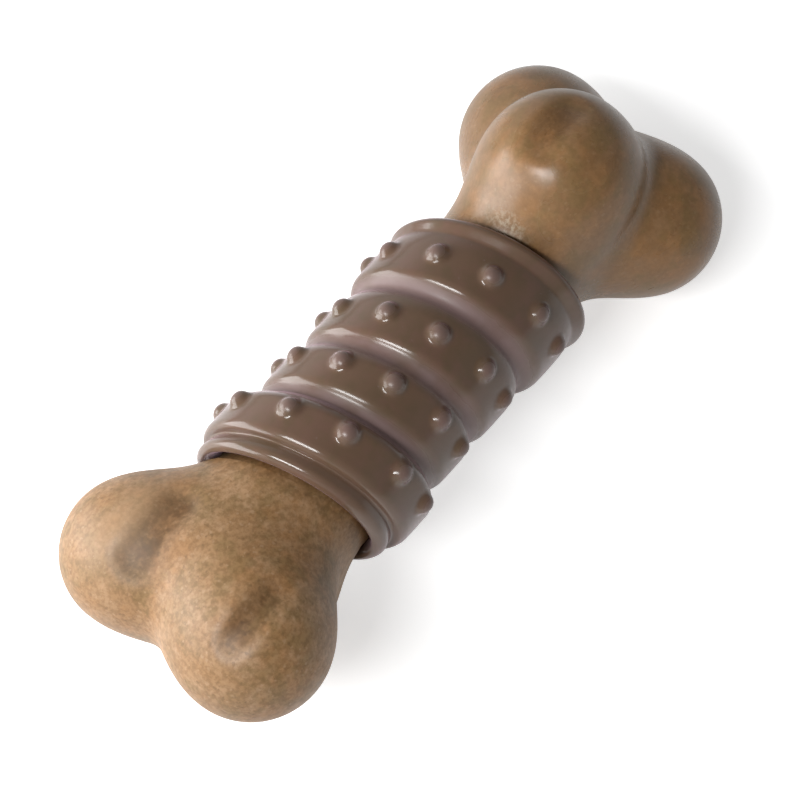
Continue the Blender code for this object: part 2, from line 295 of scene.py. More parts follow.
class SleeveSettings(bpy.types.PropertyGroup):
    length: FloatProperty(
        name="Length",
        description="Length of the sleeve along the core",
        default=68.2 * MM,
        subtype="DISTANCE",
        unit="LENGTH",
    )
    groove_depth: FloatProperty(
        name="Groove Depth",
        description="Depth of the creases between the bands",
        default=1.8 * MM,
        subtype="DISTANCE",
        unit="LENGTH",
    )
    stud_radius: FloatProperty(
        name="Stud Radius",
        description="Radius of a stud where it meets its band",
        default=2.4 * MM,
        subtype="DISTANCE",
        unit="LENGTH",
    )
    stud_height: FloatProperty(
        name="Stud Height",
        description="How far a stud stands out of its band",
        default=1.8 * MM,
        subtype="DISTANCE",
        unit="LENGTH",
    )
    base_colour: FloatVectorProperty(
        name="Base Colour",
        description="Main colour of the rubber",
        default=(0.142, 0.085, 0.055),
        subtype="COLOR",
        min=0,
        max=1,
    )
    olive_colour: FloatVectorProperty(
        name="Olive Colour",
        description="Colour of the rubber's darker, greener clouds",
        default=(0.115, 0.078, 0.045),
        subtype="COLOR",
        min=0,
        max=1,
    )
    red_colour: FloatVectorProperty(
        name="Red Colour",
        description="Colour of the rubber's redder clouds",
        default=(0.158, 0.086, 0.064),
        subtype="COLOR",
        min=0,
        max=1,
    )
    # Painted pale reflection in the valleys and painted highlight on the stud tops; also the colour of the
    # dust specks.
    sheen_and_dust_colour: FloatVectorProperty(
        name="Bloom Colour",
        description="Colour of the pale bloom in the rubber's valleys",
        default=(0.22, 0.15, 0.148),
        subtype="COLOR",
        min=0,
        max=1,
    )


class StudioSettings(bpy.types.PropertyGroup):
    floor_colour: FloatVectorProperty(
        name="Floor Colour",
        description="Colour of the plain pale floor",
        default=(0.85, 0.85, 0.85),
        subtype="COLOR",
        min=0,
        max=1,
    )
    sky_strength: FloatProperty(
        name="Sky Strength",
        description="Brightness of the even light from all round",
        default=0.3,
        min=0,
    )
    dark_side: FloatProperty(
        name="Dark Side",
        description="How bright the sky is on the toy's darker side, where 1 is its brighter side",
        default=0.3,
        min=0,
    )
    zenith_gloss: FloatProperty(
        name="Zenith Gloss",
        description="How bright gloss shows the sky straight above, where 1 is what it shows at the horizon",
        default=0.3,
        min=0,
    )


def around(x, radius, angle):
    """Points at a radius from the centre line; angle 0 is straight up and grows towards -Y."""
    x, radius, angle = np.broadcast_arrays(x, radius, angle)
    return np.stack((x, -radius * np.sin(angle), radius * np.cos(angle)), axis=-1)


def slanted(s, radius, angle, share=1.0):
    """Points on the rings at s. A ring leans by the slant where share is 1, and stands square at 0."""
    points = around(s, radius, angle)
    points[..., 0] += share * SLANT * radius * np.cos(angle - SLANT_ANGLE)
    return points


def ring_place(points):
    """The s of the slanted ring that each point lies on."""
    x, y, z = points.T
    return x - SLANT * np.hypot(y, z) * np.cos(np.arctan2(-y, z) - SLANT_ANGLE)


def flow_together(a, b, blend):
    """Smooth union of two signed distances."""
    share = np.maximum(blend - np.abs(a - b), 0) / blend
    return np.minimum(a, b) - share**2 * blend / 4


def smooth_step(value):
    """Eases a value from 0 to 1, and holds it there past both."""
    value = np.clip(value, 0, 1)
    return value * value * (3 - 2 * value)


class CoreShape:
    """The core's form: six knobs, two heels and a neck that flow together."""

    def __init__(self, settings):
        self.neck = settings.neck_radius
        self.hollow_share = settings.hollow_share
        self.heel_x = settings.knob_spacing / 2 - HEEL_SETBACK
        self.knobs = []
        far, near = settings.far_knob_radius, settings.near_knob_radius
        for side, radius, growth, crown_radius, lean, setback, turn in (
            (1, far, FAR_KNOB_GROWTH, FAR_CROWN_RADIUS, FAR_END_LEAN, FAR_CROWN_SETBACK, 0.0),
            (-1, near, NEAR_KNOB_GROWTH, near, 0.0, NEAR_CROWN_SETBACK, END_TWIST),
        ):
            plane = side * settings.knob_spacing / 2
            for angle, more in ((turn - SIDE_KNOB_ANGLE, growth), (turn + SIDE_KNOB_ANGLE, 0)):
                centre = around(plane, SIDE_KNOB_OFFSET, angle)
                centre[0] += lean * centre[1]
                self.knobs.append((centre, radius + more))
            self.knobs.append((around(plane - side * setback, CROWN_KNOB_OFFSET, turn), crown_radius))
        self.hollows = list(zip(self.knobs[2:5], HOLLOWS))
        self.lower_knobs = self.knobs[0:2] + self.knobs[5:6]
        self.reach = NECK_BLEND + max(
            np.linalg.norm(centre - around(np.sign(centre[0]) * self.heel_x, 0, 0)) + radius
            for centre, radius in self.knobs
        )

    def hollow_shares(self, points):
        """How fully each point lies in each hollow: 1 in its floor, and less towards its edge."""
        shares = []
        for (centre, radius), (turn, start, end, width, _depth) in self.hollows:
            off = points - (centre + around(0, radius, turn))
            along = np.maximum(np.maximum(start - off[..., 0], off[..., 0] - end), 0)
            away = np.sqrt(off[..., 1] ** 2 + off[..., 2] ** 2 + along**2)
            shares.append(np.exp(-((away / width) ** HOLLOW_EDGE)))
        return shares

    def hollow(self, points):
        """How deep each point is hollowed by the lengthwise hollows."""
        shares = self.hollow_shares(points)
        return self.hollow_share * sum(share * hollow[-1] for share, hollow in zip(shares, HOLLOWS))

    def field(self, points):
        """Negative inside the core without its waist, positive outside."""
        x, y, z = points[..., 0], points[..., 1], points[..., 2]
        along = np.maximum(np.abs(x) - self.heel_x, 0)
        trunk = np.sqrt(y**2 + z**2 + along**2) - self.neck
        for side in (-1, 1):
            heel = np.sqrt((x - side * self.heel_x) ** 2 + y**2 + z**2) - HEEL_RADIUS
            trunk = flow_together(trunk, heel, NECK_BLEND)
        field = self.reach
        for centre, radius in self.knobs:
            field = flow_together(field, np.linalg.norm(points - centre, axis=-1) - radius, KNOB_BLEND)
        field = flow_together(field, trunk, NECK_BLEND)
        return field + self.hollow(points)

    def surface(self, origins, directions):
        """How far the surface is from points on the centre line, along directions."""
        step = self.reach / SEARCH_STEPS
        near = np.full(directions.shape[:-1], self.reach - step)
        for _ in range(SEARCH_STEPS):
            outside = self.field(origins + directions * near[..., None]) > 0
            near = np.where(outside, near - step, near)
        far = near + step
        for _ in range(SEARCH_HALVINGS):
            middle = (near + far) / 2
            outside = self.field(origins + directions * middle[..., None]) > 0
            far = np.where(outside, middle, far)
            near = np.where(outside, near, middle)
        return near


def sleeve_rims(settings):
    """Where the sleeve's -X and +X rims lie along the core."""
    return SLEEVE_OFFSET - settings.length / 2, SLEEVE_OFFSET + settings.length / 2


def waist_outline(core, sleeve, gap):
    """Outline of the waist from its -X shoulder to its +X one, as (s, radius), moved out by a gap."""
    near_rim, far_rim = sleeve_rims(sleeve)
    low = near_rim + LIP_OVERLAP + gap
    high = far_rim - LIP_OVERLAP - gap
    neck = core.neck_radius + gap
    waist = neck - WAIST_DEPTH
    outline = [(low, neck), (low, waist)]
    for key in range(KEY_COUNT):
        middle = SLEEVE_OFFSET + (key - (KEY_COUNT - 1) / 2) * KEY_PITCH
        half = KEY_WIDTH / 2 - gap
        outline += [
            (middle - half, waist),
            (middle - half + KEY_DEPTH, waist - KEY_DEPTH),
            (middle + half - KEY_DEPTH, waist - KEY_DEPTH),
            (middle + half, waist),
        ]
    return outline + [(high, waist), (high, neck)]


def arc(centre, radii, start, stop):
    """Points on an ellipse in the (s, radius) plane, angles in degrees from +s."""
    angles = np.radians(np.linspace(start, stop, ARC_STEPS + 1))
    return [(centre[0] + radii[0] * math.cos(a), centre[1] + radii[1] * math.sin(a)) for a in angles]


def band_outline(row, radius, groove):
    """One band, after the groove on its +X side, as far as the foot of its rounded -X ridge."""
    ridge = row - RIDGE_BELOW_ROW
    rise = (groove[0] - row) * BAND_RISE_SHARE
    points = []
    for left in np.linspace(1, 0, ARC_STEPS + 1)[1:]:
        points.append((groove[0] - rise * (1 - left), radius - (radius - groove[1]) * left**2))
    points.append(((row + ridge) / 2, radius - RIDGE_DROP / 4))
    for turn in np.linspace(0, RIDGE_TURN, ARC_STEPS):
        drop = RIDGE_DROP + RIDGE_ROUNDING * (1 - math.cos(turn))
        points.append((ridge - RIDGE_ROUNDING * math.sin(turn), radius - drop))
    return points


def outside_outline(sleeve):
    """Outline of the sleeve's outside from its +X rim to its -X one, as (s, radius), and its valleys."""
    near_rim, far_rim = sleeve_rims(sleeve)
    rows = [SLEEVE_OFFSET + row for row in STUD_ROWS]
    grooves = []
    for index, row in enumerate(rows[:-1]):
        low = min(BAND_RADII[index], BAND_RADII[index + 1]) - sleeve.groove_depth
        grooves.append((row - GROOVE_BELOW_ROW, low))
    far_low = min(FAR_RIM_RADIUS, BAND_RADII[0]) - LIP_GROOVE_DEPTH
    near_low = min(NEAR_RIM_RADIUS, BAND_RADII[-1]) - LIP_GROOVE_DEPTH
    lip_above = (far_rim - FAR_LIP_WIDTH, far_low)
    lip_below = (near_rim + NEAR_LIP_WIDTH, near_low)
    rounding = (RIM_RUN, RIM_FALL)
    outline = arc((far_rim - RIM_RUN, FAR_RIM_RADIUS - RIM_FALL), rounding, 0, 90)
    for row, radius, groove in zip(rows, BAND_RADII, [lip_above] + grooves):
        outline.append(groove)
        outline += band_outline(row, radius, groove)
    outline.append(lip_below)
    outline += arc((near_rim + RIM_RUN, NEAR_RIM_RADIUS - RIM_FALL), rounding, 90, 180)
    return outline, [place for place, _low in grooves]


def inside_outline(core, sleeve):
    """Outline of the sleeve's inside from its -X rim to its +X one, as (s, radius)."""
    near_rim, far_rim = sleeve_rims(sleeve)
    neck = core.neck_radius + FIT_GAP
    outline = [(near_rim + LIP_FLARE / 2, neck + LIP_FLARE), (near_rim + 2 * LIP_FLARE, neck)]
    outline += waist_outline(core, sleeve, FIT_GAP)
    return outline + [(far_rim - 2 * LIP_FLARE, neck), (far_rim - LIP_FLARE / 2, neck + LIP_FLARE)]


def even_points(outline, step):
    """The same outline as points about one step apart."""
    outline = np.array(outline)
    run = np.concatenate(([0], np.cumsum(np.linalg.norm(np.diff(outline, axis=0), axis=1))))
    places = np.linspace(0, run[-1], round(run[-1] / step) + 1)
    return np.stack([np.interp(places, run, outline[:, axis]) for axis in range(2)], axis=1)


def gap_to_nearest(values, places):
    """How far each value is from the nearest of a few places."""
    return np.min([np.abs(values - place) for place in places], axis=0)


def rounded_outline(outline, valleys, step):
    """The outline with its corners rounded, most of all in the valleys, as points about one step apart."""
    fine = even_points(outline, OUTLINE_STEP)
    smooth = []
    for rounding in (EDGE_ROUNDING, VALLEY_ROUNDING):
        half = math.ceil(3 * rounding / OUTLINE_STEP)
        weights = np.exp(-(((np.arange(-half, half + 1) * OUTLINE_STEP) / rounding) ** 2) / 2)
        padded = np.pad(fine, ((half, half), (0, 0)), mode="reflect", reflect_type="odd")
        smooth.append([np.convolve(values, weights / weights.sum(), mode="valid") for values in padded.T])
    firm, soft = np.array(smooth)
    share = np.exp(-((gap_to_nearest(fine[:, 0], valleys) / VALLEY_REACH) ** 4))
    return even_points((firm * (1 - share) + soft * share).T, step)


def stud_profile(sleeve):
    """Points down a stud's rounded side: their share of its run, distance from the axis, and height."""
    ball = (sleeve.stud_radius**2 + sleeve.stud_height**2) / (2 * sleeve.stud_height)
    centre = sleeve.stud_height - ball
    away = np.linspace(0, STUD_REACH, STUD_STEPS)
    low, high = np.zeros_like(away) - STUD_BLEND, np.full_like(away, 2 * sleeve.stud_height)
    for _ in range(SEARCH_HALVINGS):
        middle = (low + high) / 2
        outside = flow_together(np.hypot(away, middle - centre) - ball, middle, STUD_BLEND) > 0
        high = np.where(outside, middle, high)
        low = np.where(outside, low, middle)
    height = low - low[-1]
    run = np.concatenate(([0], np.cumsum(np.hypot(np.diff(away), np.diff(height)))))
    return run / run[-1], away, height


def raise_studs(points, sleeve):
    """Move the points of the sleeve's outside that lie round each stud onto it, and tell how far up it."""
    share, away, height = stud_profile(sleeve)
    raised = np.zeros(points.shape[:-1])
    for row, radius in zip(STUD_ROWS, BAND_RADII):
        for angle in [STUD_LINE + side * turn for turn in STUD_TURNS for side in (-1, 1)]:
            seat = slanted(SLEEVE_OFFSET + row, radius, angle)
            outward = around(0, 1, angle)
            along = slanted(SLEEVE_OFFSET + row, radius, angle + TINY_TURN) - seat
            across = np.cross(along, outward)
            across /= np.linalg.norm(across)
            along = np.cross(outward, across)
            off = points - seat
            flat = np.stack((off @ along, off @ across), axis=-1)
            distance = np.linalg.norm(flat, axis=-1)
            near = (distance < STUD_REACH) & (off @ outward > -STUD_REACH)
            part = distance[near] / STUD_REACH
            stretch = np.interp(part, share, away) / np.maximum(distance[near], OUTLINE_STEP) - 1
            shift = flat[near] * stretch[:, None]
            lift = np.interp(part, share, height)
            points[near] += shift[:, :1] * along + shift[:, 1:] * across + lift[:, None] * outward
            raised[near] = np.maximum(raised[near], lift / sleeve.stud_height)
    return points, raised


def rest_turn(core):
    """Turns the toy so that its three lower knobs touch one level plane, whose height is given too."""
    lean_x, lean_y = 0.0, 0.0
    for _ in range(REST_ROUNDS):
        length = math.sqrt(1 + lean_x**2 + lean_y**2)
        system = np.array([(centre[0], centre[1], -1) for centre, radius in core.lower_knobs])
        wanted = np.array([radius * length - centre[2] for centre, radius in core.lower_knobs])
        lean_x, lean_y, _height = np.linalg.solve(system, wanted)
    up = Vector((lean_x, lean_y, 1)).normalized()
    along = (Vector((1, 0, 0)) - up * up.x).normalized()
    turn = np.array(Matrix((along, up.cross(along), up)))
    floor = np.mean([turn[2] @ centre - radius for centre, radius in core.lower_knobs])
    return turn, floor + REST_FLAT_DEPTH


def lay_down(points, core, shift=None):
    """World places of points in the core's frame. With no shift given, finds the one that centres them."""
    turn, floor = rest_turn(core)
    placed = points @ turn.T - (0, 0, floor)
    if shift is None:
        low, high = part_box("bone_core")
        middle = (placed.reshape(-1, 3).min(0) + placed.reshape(-1, 3).max(0)) / 2
        shift = np.array((low + high) / 2) - middle
        shift[2] = 0
    placed = placed + shift
    placed[..., 2] = np.maximum(placed[..., 2], 0)
    return placed, shift


def ring_mesh(name, rings, tips=(), closed=False):
    """Mesh of quads between rings of points, joined last to first if closed, else fanned to two tips."""
    count, segments = rings.shape[:2]
    points = rings.reshape(-1, 3)
    index = np.arange(count * segments).reshape(count, segments)
    follow = np.roll(index, -1, axis=1)
    above, above_follow = np.roll(index, -1, axis=0), np.roll(follow, -1, axis=0)
    quads = np.stack((index, follow, above_follow, above), axis=-1)
    quads = quads if closed else quads[:-1]
    faces = quads.reshape(-1, 4).tolist()
    if len(tips):
        first, last = count * segments, count * segments + 1
        points = np.concatenate((points, tips))
        faces += [(first, int(b), int(a)) for a, b in zip(index[0], follow[0])]
        faces += [(last, int(a), int(b)) for a, b in zip(index[-1], follow[-1])]
    mesh = bpy.data.meshes.new(name)
    mesh.from_pydata(points.tolist(), [], faces)
    mesh.shade_smooth()
    return mesh


def mark_points(mesh, name, values):
    """Keep one number for each point of a mesh, for its material to read."""
    attribute = mesh.attributes.new(name, "FLOAT", "POINT")
    attribute.data.foreach_set("value", np.ravel(values).astype(np.float32))


def core_rings(core, core_settings, sleeve_settings):
    """Rings of points along the core, from the -X end to the +X end, and its two tips."""
    angles = np.linspace(0, 2 * math.pi, CORE_SEGMENTS, endpoint=False)
    near_rim, far_rim = sleeve_rims(sleeve_settings)

    def cap(side):
        origin = np.array((side * core.heel_x, 0, 0))
        tilts = math.pi / 2 * np.arange(1, CAP_STEPS) / CAP_STEPS
        directions = around(side * np.sin(tilts)[:, None], np.cos(tilts)[:, None], angles)
        return origin + directions * core.surface(origin, directions)[..., None]

    def stretch(start, stop, rim):
        places = np.linspace(start, stop, KNOB_STEPS + 1)[:, None]
        past = np.abs(places - rim)
        share = 1 - smooth_step(past / (core.heel_x - abs(rim)))
        directions = slanted(0, np.ones_like(places), angles, share)
        origins = np.stack((places, np.zeros_like(places), np.zeros_like(places)), axis=-1)
        radius = np.minimum(core.surface(origins, directions), core.neck + NECK_SPREAD * past)
        return origins + directions * radius[..., None]

    waist = np.array(waist_outline(core_settings, sleeve_settings, 0))
    rings = [cap(-1)[::-1], stretch(-core.heel_x, near_rim, near_rim)]
    rings.append(slanted(waist[:, :1], waist[:, 1:], angles))
    rings += [stretch(far_rim, core.heel_x, far_rim), cap(1)]
    tips = []
    for side in (-1, 1):
        origin, axis = np.array((side * core.heel_x, 0, 0)), np.array((side, 0, 0))
        tips.append(origin + axis * core.surface(origin, axis))
    return np.concatenate(rings), np.array(tips)


def feed(tree, socket, value):
    """Join an output to a socket, or else set the socket's own value."""
    if isinstance(value, bpy.types.NodeSocket):
        tree.links.new(value, socket)
    else:
        socket.default_value = value


def add_node(tree, kind, inputs=None, **settings):
    """Add a shader node. An input is given as a value, or as the output that it is joined to."""
    node = tree.nodes.new(kind)
    for name, value in settings.items():
        setattr(node, name, value)
    for name, value in (inputs or {}).items():
        feed(tree, node.inputs[name], value)
    return node


def math_node(tree, operation, a, b=0.0, clamp=False):
    return add_node(tree, "ShaderNodeMath", {0: a, 1: b}, operation=operation, use_clamp=clamp).outputs[0]


def times(tree, a, b):
    return math_node(tree, "MULTIPLY", a, b)


def moved(tree, place, offset):
    return add_node(tree, "ShaderNodeVectorMath", {0: place, 1: offset}, operation="ADD").outputs[0]


def mix_colour(tree, share, a, b, blend="MIX"):
    """Mix two colours by a share, or blend the second onto the first."""
    node = add_node(tree, "ShaderNodeMix", data_type="RGBA", blend_type=blend)
    for index, value in ((0, share), (6, a), (7, b)):
        feed(tree, node.inputs[index], value)
    return node.outputs[2]


def cover(tree, colour, over, share):
    """Lay a plain colour over another, as far as a share says."""
    return mix_colour(tree, share, colour, (*over, 1))


def step_range(tree, value, low, high, to_low=0.0, to_high=1.0):
    """Smoothly maps low..high to to_low..to_high."""
    names = ("Value", "From Min", "From Max", "To Min", "To Max")
    inputs = dict(zip(names, (value, low, high, to_low, to_high)))
    return add_node(tree, "ShaderNodeMapRange", inputs, interpolation_type="SMOOTHSTEP").outputs[0]


def noise(tree, place, scale, detail=2.0, roughness=0.5, distortion=0.0):
    inputs = {"Vector": place, "Scale": scale, "Detail": detail}
    inputs.update({"Roughness": roughness, "Distortion": distortion})
    return add_node(tree, "ShaderNodeTexNoise", inputs).outputs["Fac"]


def new_group(name, inputs, outputs):
    """A shader node group with named sockets. Returns the group, its inputs and its output node."""
    group = bpy.data.node_groups.new(name, "ShaderNodeTree")
    for label, kind, value in inputs:
        socket = group.interface.new_socket(label, in_out="INPUT", socket_type=kind)
        if value is not None:
            socket.default_value = value
    for label, kind in outputs:
        group.interface.new_socket(label, in_out="OUTPUT", socket_type=kind)
    return group, group.nodes.new("NodeGroupInput").outputs, group.nodes.new("NodeGroupOutput").inputs


def clouds_group():
    """Soft clouds of a colour at two sizes, as in a moulding whose mix is uneven."""
    group, given, made = new_group(
        "Uneven Clouds",
        (
            ("Place", "NodeSocketVector", None),
            ("Scale", "NodeSocketFloat", 100.0),
            ("Low", "NodeSocketFloat", 0.4),
            ("High", "NodeSocketFloat", 0.6),
        ),
        (("Mask", "NodeSocketFloat"),),
    )
    wide = noise(group, given["Place"], given["Scale"], 3.0, 0.6, 0.4)
    small = noise(group, given["Place"], times(group, given["Scale"], 3.7), 2.0, 0.5)
    both = math_node(group, "ADD", times(group, wide, 0.68), times(group, small, 0.32))
    group.links.new(step_range(group, both, given["Low"], given["High"]), made["Mask"])
    return group


def flecks_group():
    """Small scattered flecks of uneven size, a share of the cells of a fine pattern."""
    group, given, made = new_group(
        "Scattered Flecks",
        (
            ("Place", "NodeSocketVector", None),
            ("Scale", "NodeSocketFloat", 1000.0),
            ("Share", "NodeSocketFloat", 0.3),
            ("Size", "NodeSocketFloat", 0.35),
        ),
        (("Mask", "NodeSocketFloat"),),
    )
    waves = {"Vector": given["Place"], "Scale": times(group, given["Scale"], 1.3), "Detail": 1.0}
    wobble = add_node(group, "ShaderNodeTexNoise", waves).outputs["Color"]
    middle = {0: wobble, 1: (0.5, 0.5, 0.5)}
    wobble = add_node(group, "ShaderNodeVectorMath", middle, operation="SUBTRACT").outputs[0]
    reach = {0: wobble, "Scale": math_node(group, "DIVIDE", 0.9, given["Scale"])}
    shift = add_node(group, "ShaderNodeVectorMath", reach, operation="SCALE").outputs[0]
    place = moved(group, given["Place"], shift)
    cells = add_node(group, "ShaderNodeTexVoronoi", {"Vector": place, "Scale": given["Scale"]})
    pick = add_node(group, "ShaderNodeSeparateColor", {0: cells.outputs["Color"]})
    chosen = math_node(group, "LESS_THAN", pick.outputs[0], given["Share"])
    size = times(group, given["Size"], step_range(group, pick.outputs[1], 0.0, 1.0, 0.5, 1.3))
    spot = step_range(group, cells.outputs["Distance"], size, times(group, size, 0.4))
    group.links.new(times(group, spot, chosen), made["Mask"])
    return group


def skin_group():
    """The faint unevenness of a moulded skin, as a height and as a change of gloss."""
    group, given, made = new_group(
        "Moulded Skin",
        (
            ("Place", "NodeSocketVector", None),
            ("Scale", "NodeSocketFloat", 900.0),
            ("Wear Scale", "NodeSocketFloat", 60.0),
        ),
        (("Height", "NodeSocketFloat"), ("Wear", "NodeSocketFloat")),
    )
    coarse = noise(group, given["Place"], times(group, given["Scale"], 0.22), 2.0)
    fine = noise(group, given["Place"], given["Scale"], 2.0, 0.6)
    height = math_node(group, "ADD", times(group, coarse, 0.6), times(group, fine, 0.4))
    group.links.new(height, made["Height"])
    wear = noise(group, given["Place"], given["Wear Scale"], 4.0, 0.65, 0.6)
    group.links.new(step_range(group, wear, 0.35, 0.65), made["Wear"])
    return group


def new_material(name, diffuse):
    """An empty material with its Principled shader, and where each point lies on the piece."""
    material = bpy.data.materials.new(name)
    material.use_nodes = True
    material.diffuse_color = (*diffuse, 1)
    tree = material.node_tree
    tree.nodes.clear()
    shader = add_node(tree, "ShaderNodeBsdfPrincipled")
    end = add_node(tree, "ShaderNodeOutputMaterial", {"Surface": shader.outputs[0]})
    end.is_active_output = True
    return material, tree, shader, add_node(tree, "ShaderNodeTexCoord").outputs["Object"]


def use_group(tree, group, **inputs):
    """Place a group, with its inputs named as arguments, and return its outputs."""
    node = add_node(tree, "ShaderNodeGroup", node_tree=group)
    for label, value in inputs.items():
        feed(tree, node.inputs[label.replace("_", " ")], value)
    return node.outputs


def shared_group(name, make):
    """The group of that name, made when it is first asked for."""
    return bpy.data.node_groups.get(name) or make()


def read_mark(tree, name):
    """The number that each point of the mesh keeps under a name."""
    return add_node(tree, "ShaderNodeAttribute", attribute_name=name).outputs["Fac"]


def composite_material(settings):
    """Wood-fibre composite: clouded orange, pale and olive, densely mottled, glossier towards +X, with
    painted shade in its hollows and beside the sleeve, a painted sheen on a lit knob and painted glints on a
    scuff.
    """
    material, tree, shader, place = new_material("flecked composite", settings.base_colour)
    clouds = shared_group("Uneven Clouds", clouds_group)
    flecks = shared_group("Scattered Flecks", flecks_group)
    skin = shared_group("Moulded Skin", skin_group)
    along = add_node(tree, "ShaderNodeSeparateXYZ", {0: place}).outputs[0]
    worn = step_range(tree, along, -0.03, 0.05, 1.0, 0.0)
    grain = step_range(tree, worn, 0.0, 1.0, 0.45, 1.0)

    colour = mix_colour(tree, worn, (*settings.glossy_colour, 1), (*settings.base_colour, 1))
    aside = moved(tree, place, (0.11, 0.41, 0.07))
    orange = use_group(tree, clouds, Place=aside, Scale=75.0, Low=0.44, High=0.6)["Mask"]
    colour = cover(tree, colour, settings.orange_colour, times(tree, orange, 0.5))
    pale = use_group(tree, clouds, Place=place, Scale=95.0, Low=0.46, High=0.64)["Mask"]
    pale = times(tree, pale, step_range(tree, worn, 0.0, 1.0, 0.12, 0.34))
    colour = cover(tree, colour, settings.pale_colour, pale)
    shifted = moved(tree, place, (0.31, 0.17, 0.23))
    olive = use_group(tree, clouds, Place=shifted, Scale=120.0, Low=0.46, High=0.62)["Mask"]
    colour = cover(tree, colour, settings.olive_colour, times(tree, olive, 0.55))

    mottle = step_range(tree, noise(tree, place, 1000.0, 3.0, 0.6), 0.34, 0.66)
    shade = mix_colour(tree, mottle, (0.78, 0.74, 0.66, 1), (1.14, 1.14, 1.16, 1))
    mottled = mix_colour(tree, 1.0, colour, shade, "MULTIPLY")
    colour = mix_colour(tree, times(tree, grain, 0.85), colour, mottled)
    dark = use_group(tree, flecks, Place=place, Scale=1100.0, Share=0.3, Size=0.42)["Mask"]
    colour = cover(tree, colour, settings.fleck_colour, times(tree, dark, times(tree, grain, 0.3)))
    light = use_group(tree, flecks, Place=shifted, Scale=950.0, Share=0.3, Size=0.42)["Mask"]
    colour = cover(tree, colour, settings.pale_colour, times(tree, light, times(tree, grain, 0.28)))

    # Painted shade in the hollows and, weaker, beside the sleeve's rims, with a ragged edge.
    edge = use_group(tree, clouds, Place=shifted, Scale=260.0, Low=0.34, High=0.6)["Mask"]
    ragged = step_range(tree, edge, 0.0, 1.0, 0.55, 1.0)
    painted_shade = math_node(tree, "MAXIMUM", read_mark(tree, "painted_shade"), times(tree, read_mark(tree, "rim"), 0.7))
    shaded = mix_colour(tree, 1.0, colour, (*settings.shade_colour, 1), "MULTIPLY")
    colour = mix_colour(tree, times(tree, painted_shade, ragged), colour, shaded)
    # Painted sheen: a paler patch on the lit side of a knob at the -X end.
    colour = cover(tree, colour, settings.pale_colour, times(tree, read_mark(tree, "lit_sheen"), 0.42))
    # Scuffed patch beside the sleeve: rougher, with its glints painted as pale specks.
    speckle = step_range(tree, noise(tree, shifted, 1000.0, 3.0, 0.65), 0.4, 0.66)
    scuff_and_glints = times(tree, read_mark(tree, "scuff_and_glints"), speckle)
    colour = cover(tree, colour, settings.glint_colour, times(tree, scuff_and_glints, 0.6))
    tree.links.new(colour, shader.inputs["Base Color"])

    surface = use_group(tree, skin, Place=place, Scale=1100.0, Wear_Scale=55.0)
    gloss = step_range(tree, worn, 0.0, 1.0, 0.24, 0.44)
    roughness = math_node(tree, "ADD", gloss, times(tree, surface["Wear"], 0.1))
    roughness = math_node(tree, "ADD", roughness, times(tree, read_mark(tree, "scuff_and_glints"), 0.2))
    tree.links.new(roughness, shader.inputs["Roughness"])
    relief = times(tree, surface["Height"], grain)
    bump = add_node(tree, "ShaderNodeBump", {"Height": relief, "Strength": 0.3, "Distance": 0.15 * MM})
    tree.links.new(bump.outputs[0], shader.inputs["Normal"])
    shader.inputs["IOR"].default_value = 1.5
    return material


def rubber_material(settings):
    """Moulded rubber: glossy brown, clouded olive and red, with a painted mauve reflection in its valleys
    and a painted highlight on its stud tops.
    """
    material, tree, shader, place = new_material("brown rubber", settings.base_colour)
    clouds = shared_group("Uneven Clouds", clouds_group)
    flecks = shared_group("Scattered Flecks", flecks_group)
    skin = shared_group("Moulded Skin", skin_group)
    base = (*settings.base_colour, 1)
    olive = use_group(tree, clouds, Place=place, Scale=80.0, Low=0.42, High=0.62)["Mask"]
    colour = cover(tree, base, settings.olive_colour, times(tree, olive, 0.6))
    shifted = moved(tree, place, (0.2, 0.37, 0.11))
    red = use_group(tree, clouds, Place=shifted, Scale=110.0, Low=0.46, High=0.62)["Mask"]
    colour = cover(tree, colour, settings.red_colour, times(tree, red, 0.5))
    # Painted pale mauve reflection in the valleys, unevenly clouded.
    valley_sheen = use_group(tree, clouds, Place=shifted, Scale=60.0, Low=0.3, High=0.62)["Mask"]
    valley = times(tree, read_mark(tree, "valley"), step_range(tree, valley_sheen, 0.0, 1.0, 0.35, 0.75))
    colour = cover(tree, colour, settings.sheen_and_dust_colour, valley)
    stud = read_mark(tree, "stud")
    # Painted highlight: the stud tops are made paler, standing in for their broad gloss.
    colour = cover(tree, colour, settings.sheen_and_dust_colour, step_range(tree, stud, 0.35, 1.0, 0.0, 0.4))
    dust = use_group(tree, flecks, Place=place, Scale=900.0, Share=0.05, Size=0.2)["Mask"]
    colour = cover(tree, colour, settings.sheen_and_dust_colour, times(tree, dust, 0.25))
    tree.links.new(colour, shader.inputs["Base Color"])
    surface = use_group(tree, skin, Place=place, Scale=700.0, Wear_Scale=45.0)
    roughness = step_range(tree, surface["Wear"], 0.0, 1.0, 0.12, 0.2)
    dull = math_node(tree, "MAXIMUM", times(tree, valley, 0.45), step_range(tree, stud, 0.2, 0.8, 0.0, 0.16))
    tree.links.new(math_node(tree, "ADD", roughness, dull), shader.inputs["Roughness"])
    relief = {"Height": surface["Height"], "Strength": 0.14, "Distance": 0.1 * MM}
    bump = add_node(tree, "ShaderNodeBump", relief)
    tree.links.new(bump.outputs[0], shader.inputs["Normal"])
    shader.inputs["IOR"].default_value = 1.5
    shader.inputs["Sheen Weight"].default_value = 0.35
    shader.inputs["Sheen Roughness"].default_value = 0.3
    shader.inputs["Sheen Tint"].default_value = (0.9, 0.62, 0.74, 1)
    return material


def place_piece(name, mesh, material, node):
    """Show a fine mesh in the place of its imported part."""
    piece = bpy.data.objects.new(name, mesh)
    bpy.context.scene.collection.objects.link(piece)
    piece.data.materials.append(material)
    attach(piece, "root")
    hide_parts(node)
    return piece


